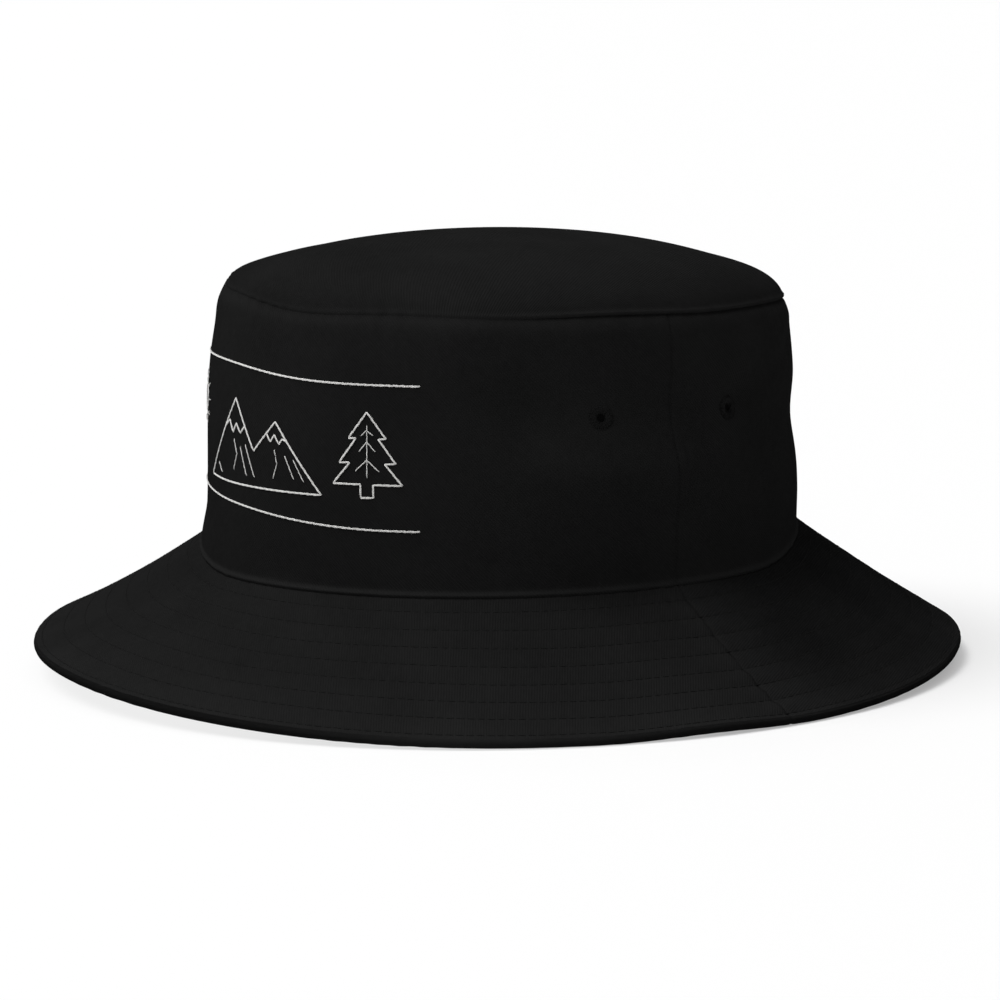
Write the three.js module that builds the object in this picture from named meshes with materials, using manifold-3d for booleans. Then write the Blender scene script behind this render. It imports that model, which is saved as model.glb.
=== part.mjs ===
// A soft cotton-twill bucket hat, in millimetres, +Z up. The front of the hat faces -Y and the
// wearer's left is +X. The origin is on the surface that the hat stands on, under its middle.
//
// Every ring of the hat is an ellipse, longer from front to back than from side to side. A point
// on it is given by an angle round the head (0 at the front, 90 degrees at the wearer's left),
// by its reach (how far it lies outside the seam that joins crown and brim) and by its height.

import * as THREE from 'three';
import * as BufferGeometryUtils from 'three/addons/utils/BufferGeometryUtils.js';
import Module from 'manifold-3d';

const wasm = await Module();
wasm.setup();

// ---------------------------------------------------------------- driving dimensions

const HALF_LENGTH = 102; // crown and brim seam, front to back
const HALF_WIDTH = 90; // crown and brim seam, side to side
const SEAM_HEIGHT = 34.5; // crown and brim seam, where it is lowest, above the resting surface
const CROWN_HEIGHT = 85; // crown side, seam to seam
const TIP_RISE = 20.5; // the tip panel swells this far above its own seam
const TIP_TILT = 1.8; // the tip seam is this much higher over the right temple than opposite it
const TIP_TILT_HEADING = THREE.MathUtils.degToRad(-37);
const TIP_INSET = 5.5; // the tip seam lies this far inside the base seam
const WALL_LEAN = 2; // the part of that inset that the wall makes as a straight lean
const BRIM_REACH = 54.5; // brim, measured flat from its seam to its edge
const BRIM_BOW = 0.18; // share by which the brim is steeper at the crown than on average

// Where the soft hat swells upward: each swell's middle and half its spread, in degrees round the
// head, and its rise. Between its own swells the brim's edge rests on the surface.
const BRIM_SWELLS = [
  { middle: -25, spread: 84, rise: 8 }, // over the forehead
  { middle: -58, spread: 40, rise: 3.3 }, // and a little more over the right temple
  { middle: 80, spread: 14, rise: 1 }, // a small buckle just ahead of the left side seam
  { middle: 152, spread: 58, rise: 5.2 }, // over the neck
];
const SEAM_SWELLS = [
  { middle: -53, spread: 51, rise: 7.5 }, // the base seam over the right temple
  { middle: 159, spread: 48, rise: 8.7 }, // and over the neck
];

const TWILL = 1.2; // crown fabric
const BRIM_TWILL = 1; // each face of the brim
const INTERLINING = 0.8;
const TAPE = 0.6;
const GAP = 0.3; // between pieces that touch
const CLEAR = GAP + 0.1; // the same between curved pieces, whose flat facets stray a little

const SWEATBAND_HEIGHT = 30;
const SWEATBAND_THICKNESS = 1.2;
const TAPE_HEIGHT = 8;
const SIDE_TAPE_HALF_ANGLE = THREE.MathUtils.degToRad(3.6);
const BACKING = 0.4; // thickness of the stabiliser behind the embroidery
const LABEL = 0.5;

const BRIM_STITCH_ROWS = 8;
const FIRST_ROW = 4.5; // slant distance of the first row from the base seam
const ROW_SPACING = 7.8;
const BRIM_THREAD = 0.9;

const EYELET_HEIGHT = 54.2; // above the base seam
const EYELET_SPREAD = THREE.MathUtils.degToRad(15); // each side of the side seam
const EYELET_RADIUS = 4;
const EYELET_HOLE = 1.9;
const EYELET_SLEEVE = 2.8;
const EYELET_PROUD = 0.8; // the thread stands this far off the crown at its highest
const EYELET_DEPTH = 1.6; // how far the thread reaches in through the crown fabric

const LINE_THREAD = 1.1; // width of an embroidered line
const DRAWING_THREAD = 1.2; // width of the lines of the embroidered drawing
const THREAD_PROUD = 0.7;
const LINE_SPREAD = THREE.MathUtils.degToRad(41.5);
const LINE_STEPS = 20;
const LINE_BOW = { middle: -14, spread: 50 }; // where both lines bow upward, in degrees
const UPPER_LINE = { height: 64.2, rise: 2.4 }; // its ends above the base seam, and its bow
const LOWER_LINE = { height: 20.2, rise: 4.4 };
const MOTIF_HEIGHT = 43; // middle of the embroidered drawing
const MM_PER_RADIAN = 91.5; // along the front of the crown

const AROUND = 60; // steps round the hat
const QUARTER = Math.PI / 2;
const STEP = (2 * Math.PI) / AROUND;

// ---------------------------------------------------------------- the hat's surfaces

function ringPoint(angle, reach, z) {
  const x = (HALF_WIDTH + reach) * Math.sin(angle);
  const y = -(HALF_LENGTH + reach) * Math.cos(angle);
  return new THREE.Vector3(x, y, z);
}

// The outer face of the crown wall: a slight lean, then a turn into the tip seam.
function wallReach(height) {
  const share = THREE.MathUtils.clamp(height / CROWN_HEIGHT, 0, 1);
  return -WALL_LEAN * share - (TIP_INSET - WALL_LEAN) * share ** 10;
}

function swelling(angle, swells) {
  let total = 0;
  for (const { middle, spread, rise } of swells) {
    const offset = angle - THREE.MathUtils.degToRad(middle);
    const share = Math.atan2(Math.sin(offset), Math.cos(offset)) / THREE.MathUtils.degToRad(spread);
    if (Math.abs(share) < 1) total += rise * Math.cos(share * QUARTER) ** 2;
  }
  return total;
}

function edgeLift(angle) {
  return swelling(angle, BRIM_SWELLS);
}

function seamRise(angle) {
  return swelling(angle, SEAM_SWELLS);
}

// The height above the resting surface of a place on the crown wall, given above the base seam.
function wallZ(angle, height) {
  const share = height / CROWN_HEIGHT;
  const tilt = TIP_TILT * Math.cos(angle - TIP_TILT_HEADING);
  return SEAM_HEIGHT + height + seamRise(angle) * (1 - share) + tilt * share;
}

const BRIM_STACK = 2 * BRIM_TWILL + INTERLINING + 2 * GAP;
const INTERLINING_BASE = BRIM_TWILL + GAP;
const BRIM_TOP_BASE = INTERLINING_BASE + INTERLINING + GAP;

// The underside of the brim, at a share of its reach from the seam (0) to the edge (1).
function brimUnderside(angle, share) {
  const start = SEAM_HEIGHT + seamRise(angle) - BRIM_STACK;
  const fallen = (1 + BRIM_BOW) * share - BRIM_BOW * share ** 2;
  return start - (start - edgeLift(angle)) * fallen;
}

// ---------------------------------------------------------------- building closed solids

function closedGeometry(points, triangles) {
  const geometry = new THREE.BufferGeometry();
  const positions = points.flatMap((point) => [point.x, point.y, point.z]);
  let volume = 0;
  for (const [a, b, c] of triangles) {
    volume += points[a].dot(new THREE.Vector3().crossVectors(points[b], points[c]));
  }
  const outward = volume > 0 ? triangles : triangles.map(([a, b, c]) => [a, c, b]);
  geometry.setAttribute('position', new THREE.Float32BufferAttribute(positions, 3));
  geometry.setIndex(outward.flat());
  geometry.computeVertexNormals();
  return geometry;
}

// Joins a row of equal closed outlines into one solid. A looped row joins its last outline to its
// first; an open row is capped at both ends with the triangles given.
function skin(outlines, looped, capTriangles = []) {
  const count = outlines[0].length;
  const triangles = [];
  const spans = looped ? outlines.length : outlines.length - 1;
  for (let i = 0; i < spans; i += 1) {
    const here = i * count;
    const next = ((i + 1) % outlines.length) * count;
    for (let j = 0; j < count; j += 1) {
      const k = (j + 1) % count;
      triangles.push([here + j, next + j, next + k], [here + j, next + k, here + k]);
    }
  }
  if (!looped) {
    const last = (outlines.length - 1) * count;
    for (const [a, b, c] of capTriangles) {
      triangles.push([a, b, c], [last + a, last + c, last + b]);
    }
  }
  return closedGeometry(outlines.flat(), triangles);
}

// Triangles that fill a flat outline, each running the same way round as the outline does.
function capFor(outline) {
  const clockwise = THREE.ShapeUtils.isClockWise(outline);
  const filled = THREE.ShapeUtils.triangulateShape(outline, []);
  return filled.map(([a, b, c]) => {
    const corners = [outline[a], outline[b], outline[c]];
    return THREE.ShapeUtils.isClockWise(corners) === clockwise ? [a, b, c] : [a, c, b];
  });
}

// Sweeps a section round the hat. section(angle) gives a closed outline of [reach, height] pairs.
function sweepRound(section, angles, looped) {
  const outlines = angles.map((angle) => section(angle).map(([reach, z]) => ringPoint(angle, reach, z)));
  const flat = section(angles[0]).map(([reach, z]) => new THREE.Vector2(reach, z));
  return skin(outlines, looped, looped ? [] : capFor(flat));
}

// Angles between two seams, on the same steps that the whole rings use.
function anglesBetween(start, end, inset = 0) {
  const steps = Math.round((end - start) / STEP);
  const angles = Array.from({ length: steps + 1 }, (_, i) => start + i * STEP);
  angles[0] += inset;
  angles[steps] -= inset;
  return angles;
}

const FULL_TURN = Array.from({ length: AROUND }, (_, i) => i * STEP);
const SEAM_INSET = GAP / 2 / HALF_WIDTH;
const FRONT_HALF = anglesBetween(-QUARTER, QUARTER, SEAM_INSET);
const BACK_HALF = anglesBetween(QUARTER, 3 * QUARTER, SEAM_INSET);

function mergedPositions(geometry) {
  const bare = geometry.clone();
  bare.deleteAttribute('normal');
  bare.deleteAttribute('uv');
  const tolerance = 1e-4;
  return BufferGeometryUtils.mergeVertices(bare, tolerance);
}

function asSolid(geometry) {
  const merged = mergedPositions(geometry);
  const vertProperties = new Float32Array(merged.attributes.position.array);
  const triVerts = new Uint32Array(merged.index.array);
  return new wasm.Manifold(new wasm.Mesh({ numProp: 3, vertProperties, triVerts }));
}

function fromSolid(solid) {
  const mesh = solid.getMesh();
  const geometry = new THREE.BufferGeometry();
  geometry.setAttribute('position', new THREE.Float32BufferAttribute(mesh.vertProperties, 3));
  geometry.setIndex(Array.from(mesh.triVerts));
  geometry.computeVertexNormals();
  return geometry;
}

// ---------------------------------------------------------------- crown

const WALL_LEVELS = [2.4, 20, 42, 62, 72, 79, 83, CROWN_HEIGHT - GAP / 2];
const SEAM_BEAD = 0.9; // the fold of fabric that stands proud just above the base seam
const BEAD_BOTTOM = 0.7;
const BEAD_TOP = 1.5;
const WALL_TUCK = 1.5; // the wall's raw edge hangs this far below the seam line

function wallSection(angle) {
  const outer = [
    [0, -WALL_TUCK],
    [0, CLEAR],
    [SEAM_BEAD, BEAD_BOTTOM],
    [SEAM_BEAD, BEAD_TOP],
    ...WALL_LEVELS.map((height) => [wallReach(height), height]),
  ];
  const inner = [...WALL_LEVELS].reverse().map((height) => [wallReach(height) - TWILL, height]);
  inner.push([-TWILL, -WALL_TUCK]);
  return [...outer, ...inner].map(([reach, height]) => [reach, wallZ(angle, height)]);
}

// A drill straight through the wall at an eyelet, and the place and direction of that eyelet.
function eyeletPlace(angle) {
  const reach = wallReach(EYELET_HEIGHT);
  const point = ringPoint(angle, reach, wallZ(angle, EYELET_HEIGHT));
  const outwardX = (HALF_LENGTH + reach) * Math.sin(angle);
  const outwardY = -(HALF_WIDTH + reach) * Math.cos(angle);
  return { point, outward: new THREE.Vector3(outwardX, outwardY, 0).normalize() };
}

function turnedOutward(geometry, { point, outward }) {
  const turn = new THREE.Quaternion().setFromUnitVectors(new THREE.Vector3(0, 1, 0), outward);
  return geometry.applyQuaternion(turn).translate(point.x, point.y, point.z);
}

function crownPanel(angles, eyeletAngles) {
  let panel = asSolid(sweepRound(wallSection, angles, false));
  const drillRadius = EYELET_SLEEVE + GAP;
  const drillLength = 10;
  const drillSides = 12;
  for (const angle of eyeletAngles) {
    const drill = new THREE.CylinderGeometry(drillRadius, drillRadius, drillLength, drillSides);
    panel = panel.subtract(asSolid(turnedOutward(drill, eyeletPlace(angle))));
  }
  return fromSolid(panel);
}

// The tip panel swells like half an ellipse above its seam, and leans over as its seam does.
function crownTip() {
  const radius = HALF_LENGTH - TIP_INSET;
  const rings = [0, 16, 32, 47, 61, 74, 90].map(THREE.MathUtils.degToRad);
  const seam = SEAM_HEIGHT + CROWN_HEIGHT + GAP / 2;
  const arc = (size, rise) =>
    rings.map((turn) => new THREE.Vector2(size * Math.sin(turn), seam + rise * Math.cos(turn)));
  const outer = arc(radius, TIP_RISE);
  const inner = arc(radius - TWILL, TIP_RISE - TWILL).reverse();
  const dome = new THREE.LatheGeometry([...outer, ...inner], AROUND);
  dome.rotateX(QUARTER);
  dome.scale((HALF_WIDTH - TIP_INSET) / radius, 1, 1);
  const leanAcross = (TIP_TILT * Math.sin(TIP_TILT_HEADING)) / (HALF_WIDTH - TIP_INSET);
  const leanAlong = (-TIP_TILT * Math.cos(TIP_TILT_HEADING)) / radius;
  dome.applyMatrix4(new THREE.Matrix4().makeShear(0, leanAcross, 0, leanAlong, 0, 0));
  return fromSolid(asSolid(outwardFacing(dome)));
}

// A turned shape as one closed body that faces outward, without the empty triangles on its axis.
function outwardFacing(geometry) {
  const merged = mergedPositions(geometry);
  const position = merged.attributes.position;
  const points = [];
  for (let i = 0; i < position.count; i += 1) {
    points.push(new THREE.Vector3().fromBufferAttribute(position, i));
  }
  const triangles = [];
  for (let i = 0; i < merged.index.count; i += 3) {
    const corners = [0, 1, 2].map((k) => merged.index.getX(i + k));
    if (new Set(corners).size === 3) triangles.push(corners);
  }
  return closedGeometry(points, triangles);
}

// The thread-wound ring of a sewn eyelet: a sleeve through the wall with a rounded outer lip.
function eyelet(angle) {
  const round = 0.4;
  const sides = 16;
  const profile = [
    [EYELET_HOLE, -EYELET_DEPTH],
    [EYELET_SLEEVE, -EYELET_DEPTH],
    [EYELET_SLEEVE, CLEAR],
    [EYELET_RADIUS, CLEAR],
    [EYELET_RADIUS - round, CLEAR + EYELET_PROUD],
    [EYELET_HOLE + round, CLEAR + EYELET_PROUD],
    [EYELET_HOLE, CLEAR + EYELET_PROUD - round],
    [EYELET_HOLE, -EYELET_DEPTH],
  ];
  const ring = new THREE.LatheGeometry(profile.map(([r, y]) => new THREE.Vector2(r, y)), sides);
  return turnedOutward(outwardFacing(ring), eyeletPlace(angle));
}

// ---------------------------------------------------------------- brim

const EDGE_SHARE = 0.965; // where the turned edge begins
const BRIM_SHARES = [0, 0.25, 0.5, 0.75, EDGE_SHARE];
const UNDER_SHARES = [0, 0.25, 0.5, 0.75, 0.93];
const INTERLINING_SHARES = [0.02, 0.25, 0.5, 0.75, 0.95]; // it stops short of both seams
const BRIM_START = GAP + 0.05; // the brim's inner edge stands this far outside the wall

function brimReach(share) {
  return BRIM_START + (BRIM_REACH - BRIM_START) * share;
}

function brimTopSection(angle) {
  const line = (share, above) => [brimReach(share), brimUnderside(angle, share) + above];
  return [
    ...[...BRIM_SHARES, 1].map((share) => line(share, BRIM_STACK)),
    line(1, INTERLINING_BASE),
    line(EDGE_SHARE, INTERLINING_BASE),
    ...[...BRIM_SHARES].reverse().map((share) => line(share, BRIM_TOP_BASE)),
  ];
}

function brimUnderSection(angle) {
  const line = (share, above) => [brimReach(share), brimUnderside(angle, share) + above];
  return [
    ...[...BRIM_SHARES, 1].map((share) => line(share, BRIM_TWILL)),
    [brimReach(1), edgeLift(angle)],
    [brimReach(EDGE_SHARE), edgeLift(angle)],
    ...[...UNDER_SHARES].reverse().map((share) => line(share, 0)),
  ];
}

function interliningSection(angle) {
  const line = (share, above) => [brimReach(share), brimUnderside(angle, share) + above];
  return [
    ...INTERLINING_SHARES.map((share) => line(share, INTERLINING_BASE + INTERLINING)),
    ...[...INTERLINING_SHARES].reverse().map((share) => line(share, INTERLINING_BASE)),
  ];
}

// One concentric row of topstitching: a low ridge of thread lying on the brim.
function brimStitchSection(row) {
  const slant = Math.hypot(BRIM_REACH, SEAM_HEIGHT - BRIM_STACK);
  const middle = (FIRST_ROW + row * ROW_SPACING) / slant;
  const half = BRIM_THREAD / 2 / slant;
  const clear = BRIM_STACK + GAP;
  return (angle) => [
    [brimReach(middle - half), brimUnderside(angle, middle - half) + clear],
    [brimReach(middle), brimUnderside(angle, middle) + clear + BRIM_THREAD / 2],
    [brimReach(middle + half), brimUnderside(angle, middle + half) + clear],
  ];
}

// ---------------------------------------------------------------- inside the crown

// A strip that lies flat against the inner face of the wall between two heights.
function linedSection(levels, clearance, thickness) {
  return (angle) => {
    const inside = (height, depth) => [wallReach(height) - TWILL - depth, wallZ(angle, height)];
    return [
      ...levels.map((height) => inside(height, clearance)),
      ...[...levels].reverse().map((height) => inside(height, clearance + thickness)),
    ];
  };
}

const SWEATBAND_CLEARANCE = 1.4; // room for the base seam's turned-up edges behind the band
const SWEATBAND_BOTTOM = -3;
const SWEATBAND_TOP = SWEATBAND_BOTTOM + SWEATBAND_HEIGHT;
const TIP_TAPE_TOP = CROWN_HEIGHT - 2 * GAP;
const TIP_TAPE_BOTTOM = TIP_TAPE_TOP - TAPE_HEIGHT;
const ABOVE_SWEATBAND = SWEATBAND_TOP + 2;

function sweatband() {
  const levels = [SWEATBAND_BOTTOM, 12, SWEATBAND_TOP];
  const section = linedSection(levels, SWEATBAND_CLEARANCE, SWEATBAND_THICKNESS);
  return sweepRound(section, anglesBetween(-Math.PI, Math.PI, SEAM_INSET * 2), false);
}

function tipSeamTape() {
  const levels = [TIP_TAPE_BOTTOM, TIP_TAPE_TOP - TAPE_HEIGHT / 2, TIP_TAPE_TOP];
  return sweepRound(linedSection(levels, 2 * GAP, 2 * TAPE), FULL_TURN, true);
}

function sideSeamTape(middle) {
  const levels = [ABOVE_SWEATBAND, 42, 62, 71, TIP_TAPE_BOTTOM - 1];
  const angles = [middle - SIDE_TAPE_HALF_ANGLE, middle, middle + SIDE_TAPE_HALF_ANGLE];
  return sweepRound(linedSection(levels, CLEAR, TAPE), angles, false);
}

function embroideryBacking() {
  const levels = [ABOVE_SWEATBAND, 42, 62, 70];
  const spread = 7 * STEP;
  return sweepRound(linedSection(levels, CLEAR, BACKING), anglesBetween(-spread, spread), false);
}

function careLabel() {
  const levels = [SWEATBAND_BOTTOM + 4, SWEATBAND_TOP - 2];
  const clearance = SWEATBAND_CLEARANCE + SWEATBAND_THICKNESS + CLEAR;
  const middle = Math.PI + 0.14; // just beside the sweatband's opening at the back
  const half = 0.08;
  const angles = [middle - half, middle, middle + half];
  return sweepRound(linedSection(levels, clearance, LABEL), angles, false);
}

// ---------------------------------------------------------------- embroidery

// A point of the embroidery: mm along the crown from its front, height above the base seam, and
// how far it stands off the wall.
function onCrown(along, height, off) {
  const angle = along / MM_PER_RADIAN;
  return ringPoint(angle, wallReach(height) + off, wallZ(angle, height));
}

const LONGEST_STEP = 7; // a longer one would leave the crown's curve

// Splits a path of [along, height] corners into short steps.
function finePath(corners, looped) {
  const path = [];
  const legs = looped ? corners.length : corners.length - 1;
  for (let i = 0; i < legs; i += 1) {
    const from = new THREE.Vector2(...corners[i]);
    const to = new THREE.Vector2(...corners[(i + 1) % corners.length]);
    const steps = Math.ceil(from.distanceTo(to) / LONGEST_STEP);
    for (let k = 0; k < steps; k += 1) path.push(from.clone().lerp(to, k / steps));
  }
  if (!looped) path.push(new THREE.Vector2(...corners.at(-1)));
  return path;
}

// A raised satin-stitched stroke of the given width along a path on the crown.
function stroke(corners, width, looped) {
  const path = finePath(corners, looped);
  const near = CLEAR;
  const sharpest = 0.5; // keeps the mitre of a narrow corner short
  const outlines = path.map((point, i) => {
    const before = path[looped ? (i + path.length - 1) % path.length : Math.max(i - 1, 0)];
    const after = path[looped ? (i + 1) % path.length : Math.min(i + 1, path.length - 1)];
    const inward = point.clone().sub(before).normalize();
    const outward = after.clone().sub(point).normalize();
    const along = inward.clone().add(outward).normalize();
    const steady = along.lengthSq() > 0 ? along : outward;
    const mitre = Math.max(Math.abs(steady.dot(outward.lengthSq() > 0 ? outward : inward)), sharpest);
    const across = new THREE.Vector2(-steady.y, steady.x).multiplyScalar(width / 2 / mitre);
    const corner = (side, off) => onCrown(point.x + side * across.x, point.y + side * across.y, off);
    const far = near + THREAD_PROUD;
    return [corner(-1, near), corner(1, near), corner(1, far), corner(-1, far)];
  });
  return skin(outlines, looped, [[0, 1, 2], [0, 2, 3]]);
}

function embroideredLine({ height, rise }) {
  const corners = Array.from({ length: LINE_STEPS + 1 }, (_, i) => {
    const angle = LINE_SPREAD * ((2 * i) / LINE_STEPS - 1);
    return [angle * MM_PER_RADIAN, height + swelling(angle, [{ ...LINE_BOW, rise }])];
  });
  return stroke(corners, LINE_THREAD, false);
}

// Two plain mountain peaks on a straight base.
function peaks() {
  const middle = 6;
  const corners = [[-29, -13], [-10, 13], [1, -2], [11, 8], [29, -13]];
  return stroke(corners.map(([x, y]) => [middle + x, MOTIF_HEIGHT + y]), DRAWING_THREAD, true);
}

// A plain fir tree: three tiers of branches over a short trunk.
function pine() {
  const middle = 50;
  const right = [[0, 13], [6, 5], [3.5, 5], [9, -2.5], [5.5, -2.5], [11, -9], [2, -9], [2, -13]];
  const left = right.slice(1).reverse().map(([x, y]) => [-x, y]);
  const corners = [...right, ...left].map(([x, y]) => [middle + x, MOTIF_HEIGHT + y]);
  return stroke(corners, DRAWING_THREAD, true);
}

// A plain ring for the sun.
function sun() {
  const middle = new THREE.Vector2(-38, MOTIF_HEIGHT + 9);
  const radius = 4.5;
  const steps = 12;
  const corners = Array.from({ length: steps }, (_, i) => {
    const turn = (i / steps) * 2 * Math.PI;
    return [middle.x + radius * Math.cos(turn), middle.y + radius * Math.sin(turn)];
  });
  return stroke(corners, DRAWING_THREAD, true);
}

// ---------------------------------------------------------------- the hat

const cloth = (color) => new THREE.MeshStandardMaterial({ color, roughness: 0.95, metalness: 0 });
const BLACK_TWILL = cloth(0x171718);
const BLACK_TAPE = cloth(0x161617);
const BLACK_THREAD = cloth(0x18181a);
const WHITE_THREAD = cloth(0xe9e8e4);
const WHITE_NONWOVEN = cloth(0xd8d8d4);
const BLACK_NONWOVEN = cloth(0x242425);
const WHITE_SATIN = cloth(0xe4e3df);

const hat = new THREE.Group();

function add(name, geometry, material) {
  const mesh = new THREE.Mesh(geometry, material);
  mesh.name = name;
  hat.add(mesh);
}

const EYELETS = {
  eyelet_left_front: QUARTER - EYELET_SPREAD,
  eyelet_left_rear: QUARTER + EYELET_SPREAD,
  eyelet_right_front: -QUARTER + EYELET_SPREAD,
  eyelet_right_rear: -QUARTER - EYELET_SPREAD,
};

add('crown_tip', crownTip(), BLACK_TWILL);
const frontEyelets = [EYELETS.eyelet_left_front, EYELETS.eyelet_right_front];
const rearEyelets = [EYELETS.eyelet_left_rear, EYELETS.eyelet_right_rear];
add('crown_front_panel', crownPanel(FRONT_HALF, frontEyelets), BLACK_TWILL);
add('crown_back_panel', crownPanel(BACK_HALF, rearEyelets), BLACK_TWILL);
for (const [name, angle] of Object.entries(EYELETS)) add(name, eyelet(angle), BLACK_THREAD);

add('brim_top_front', sweepRound(brimTopSection, FRONT_HALF, false), BLACK_TWILL);
add('brim_top_back', sweepRound(brimTopSection, BACK_HALF, false), BLACK_TWILL);
add('brim_interlining', sweepRound(interliningSection, FULL_TURN, true), WHITE_NONWOVEN);
add('brim_under_front', sweepRound(brimUnderSection, FRONT_HALF, false), BLACK_TWILL);
add('brim_under_back', sweepRound(brimUnderSection, BACK_HALF, false), BLACK_TWILL);
for (let row = 0; row < BRIM_STITCH_ROWS; row += 1) {
  add(`brim_stitch_row_${row + 1}`, sweepRound(brimStitchSection(row), FULL_TURN, true), BLACK_THREAD);
}

add('sweatband', sweatband(), BLACK_TAPE);
add('tip_seam_tape', tipSeamTape(), BLACK_TAPE);
add('side_seam_tape_left', sideSeamTape(QUARTER), BLACK_TAPE);
add('side_seam_tape_right', sideSeamTape(-QUARTER), BLACK_TAPE);
add('embroidery_backing', embroideryBacking(), BLACK_NONWOVEN);
add('care_label', careLabel(), WHITE_SATIN);

add('embroidery_upper_line', embroideredLine(UPPER_LINE), WHITE_THREAD);
add('embroidery_lower_line', embroideredLine(LOWER_LINE), WHITE_THREAD);
add('embroidery_peaks', peaks(), WHITE_THREAD);
add('embroidery_pine', pine(), WHITE_THREAD);
add('embroidery_sun', sun(), WHITE_THREAD);

export default hat;
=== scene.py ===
"""A soft black bucket hat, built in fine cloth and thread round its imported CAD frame.

The hat stands on its brim with its front towards -Y. A point on its cloth is given by an angle
round the head (0 at the front, +90 degrees at the wearer's left) and by a distance along the cloth.
"""

import math
import random

import bpy
import numpy as np
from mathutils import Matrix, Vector


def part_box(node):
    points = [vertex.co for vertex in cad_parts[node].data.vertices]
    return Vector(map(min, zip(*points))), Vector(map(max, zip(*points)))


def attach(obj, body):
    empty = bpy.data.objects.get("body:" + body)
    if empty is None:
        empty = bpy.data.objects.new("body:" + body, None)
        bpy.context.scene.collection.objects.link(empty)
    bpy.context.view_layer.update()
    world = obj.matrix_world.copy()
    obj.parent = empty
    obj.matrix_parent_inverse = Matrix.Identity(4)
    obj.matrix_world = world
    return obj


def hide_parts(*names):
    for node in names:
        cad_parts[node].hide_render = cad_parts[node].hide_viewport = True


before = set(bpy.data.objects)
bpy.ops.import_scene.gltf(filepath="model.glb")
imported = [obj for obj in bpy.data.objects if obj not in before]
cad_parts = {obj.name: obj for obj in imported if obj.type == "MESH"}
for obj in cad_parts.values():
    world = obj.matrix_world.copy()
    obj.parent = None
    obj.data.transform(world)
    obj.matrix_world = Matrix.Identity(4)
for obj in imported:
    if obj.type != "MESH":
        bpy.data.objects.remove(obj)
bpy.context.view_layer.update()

MM = 0.001
QUARTER = math.pi / 2
FULL = 2 * math.pi

# ---------- sizes, from the frame

brim_low, brim_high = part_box("brim_top_front")
_, tip_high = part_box("crown_tip")

BRIM_REACH = 54.5 * MM  # flat distance from the base seam to the brim's edge
HALF_WIDTH = brim_high[0] - BRIM_REACH
HALF_LENGTH = -brim_low[1] - BRIM_REACH
SEAM_HEIGHT = 34.5 * MM  # of the base seam, where it is lowest
CROWN_HEIGHT = 85 * MM  # from the base seam there to the tip seam
TIP_RISE = 20.5 * MM
TIP_TILT = 1.8 * MM  # the tip seam is this much higher over the right temple than opposite it
TIP_TILT_HEADING = math.radians(-37)
TIP_INSET = HALF_WIDTH - tip_high[0]
SEAM_CLIMB = (-45, 60, math.radians(12.7))  # where and how far the tip seam climbs up the tip's dome
SHOULDER_DIP = (-45, 60, 0.8 * MM)
WALL_LEAN = 2 * MM
MEAN_RADIUS = (HALF_WIDTH + HALF_LENGTH) / 2

CLOTH = 0.9 * MM
BRIM_CLOTH = 1.0 * MM
INTERLINING = 0.8 * MM
BRIM_BOW = 0.18
BRIM_STACK = 3.4 * MM  # the brim's thickness, measured straight up
EDGE_RADIUS = 1.45 * MM  # half that thickness, square to the brim
EDGE_SHARE = 1 - EDGE_RADIUS / BRIM_REACH
BRIM_SLANT = math.hypot(BRIM_REACH, SEAM_HEIGHT - BRIM_STACK)

# Middle and half spread in degrees, rise in metres, of each place where the brim's edge and the
# base seam are lifted.
BRIM_SWELLS = ((-25, 84, 7.3 * MM), (-64, 45, 4.0 * MM), (80, 14, 1.0 * MM), (152, 58, 5.2 * MM))
SEAM_SWELLS = ((-53, 51, 7.5 * MM), (159, 48, 8.7 * MM))

ROWS = 8
FIRST_ROW = 4.5 * MM
ROW_SPACING = 7.8 * MM

EYELET_ANGLES = {
    "left_front": math.radians(75),
    "left_rear": math.radians(105),
    "right_front": math.radians(-75),
    "right_rear": math.radians(-105),
}
EYELET_HEIGHT = 54.2 * MM  # above the base seam
EYELET_CUT = 2.8 * MM  # radius of the hole cut in the cloth

# Each line's height above the base seam at its ends, and how far it bows upward, in mm.
LINES = {"embroidery_upper_line": (64.2, 2.4), "embroidery_lower_line": (20.2, 4.4)}
LINE_BOW = (-14, 50)  # middle and half spread of that bow, in degrees
LINE_SPREAD = math.radians(41.5)
MOTIF_MM = 43  # height of the figures' middle above the base seam
EMBROIDERY_RADIUS = 91.5 * MM  # turns a distance along the embroidery into an angle


# ---------- smooth random fields


def wave_field(seed, turns, slope, count=9):
    """A smooth random field over (angle, distance), near 1 at its crests, that closes round the hat.

    turns gives the least and most waves round the hat, slope the most radians per metre along.
    """
    draw = random.Random(seed)

    def wave():
        return draw.randint(*turns), draw.uniform(-slope, slope), draw.uniform(0, FULL)

    waves = [wave() for _ in range(count)]

    def field(angle, along):
        return sum(np.cos(k * angle + m * along + p) for k, m, p in waves) / math.sqrt(count)

    return field


def bump(distance, width):
    return np.exp(-((distance / width) ** 2))


def eased(share):
    """Rises smoothly from 0 at 0 to 1 at 1."""
    share = np.clip(share, 0, 1)
    return share * share * (3 - 2 * share)


def wrapped(angle):
    return np.arctan2(np.sin(angle), np.cos(angle))


def unit(vectors):
    return vectors / np.maximum(np.linalg.norm(vectors, axis=-1, keepdims=True), 1e-15)


def swelling(angle, swells):
    rise = 0 * angle
    for middle, spread, height in swells:
        share = wrapped(angle - math.radians(middle)) / math.radians(spread)
        rise = rise + height * np.cos(np.clip(share, -1, 1) * QUARTER) ** 2
    return rise


def seam_distance(angle, radius):
    """Signed distance round the hat from the nearer side seam."""
    return np.where(np.sin(angle) > 0, wrapped(angle - QUARTER), wrapped(angle + QUARTER)) * radius


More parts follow.
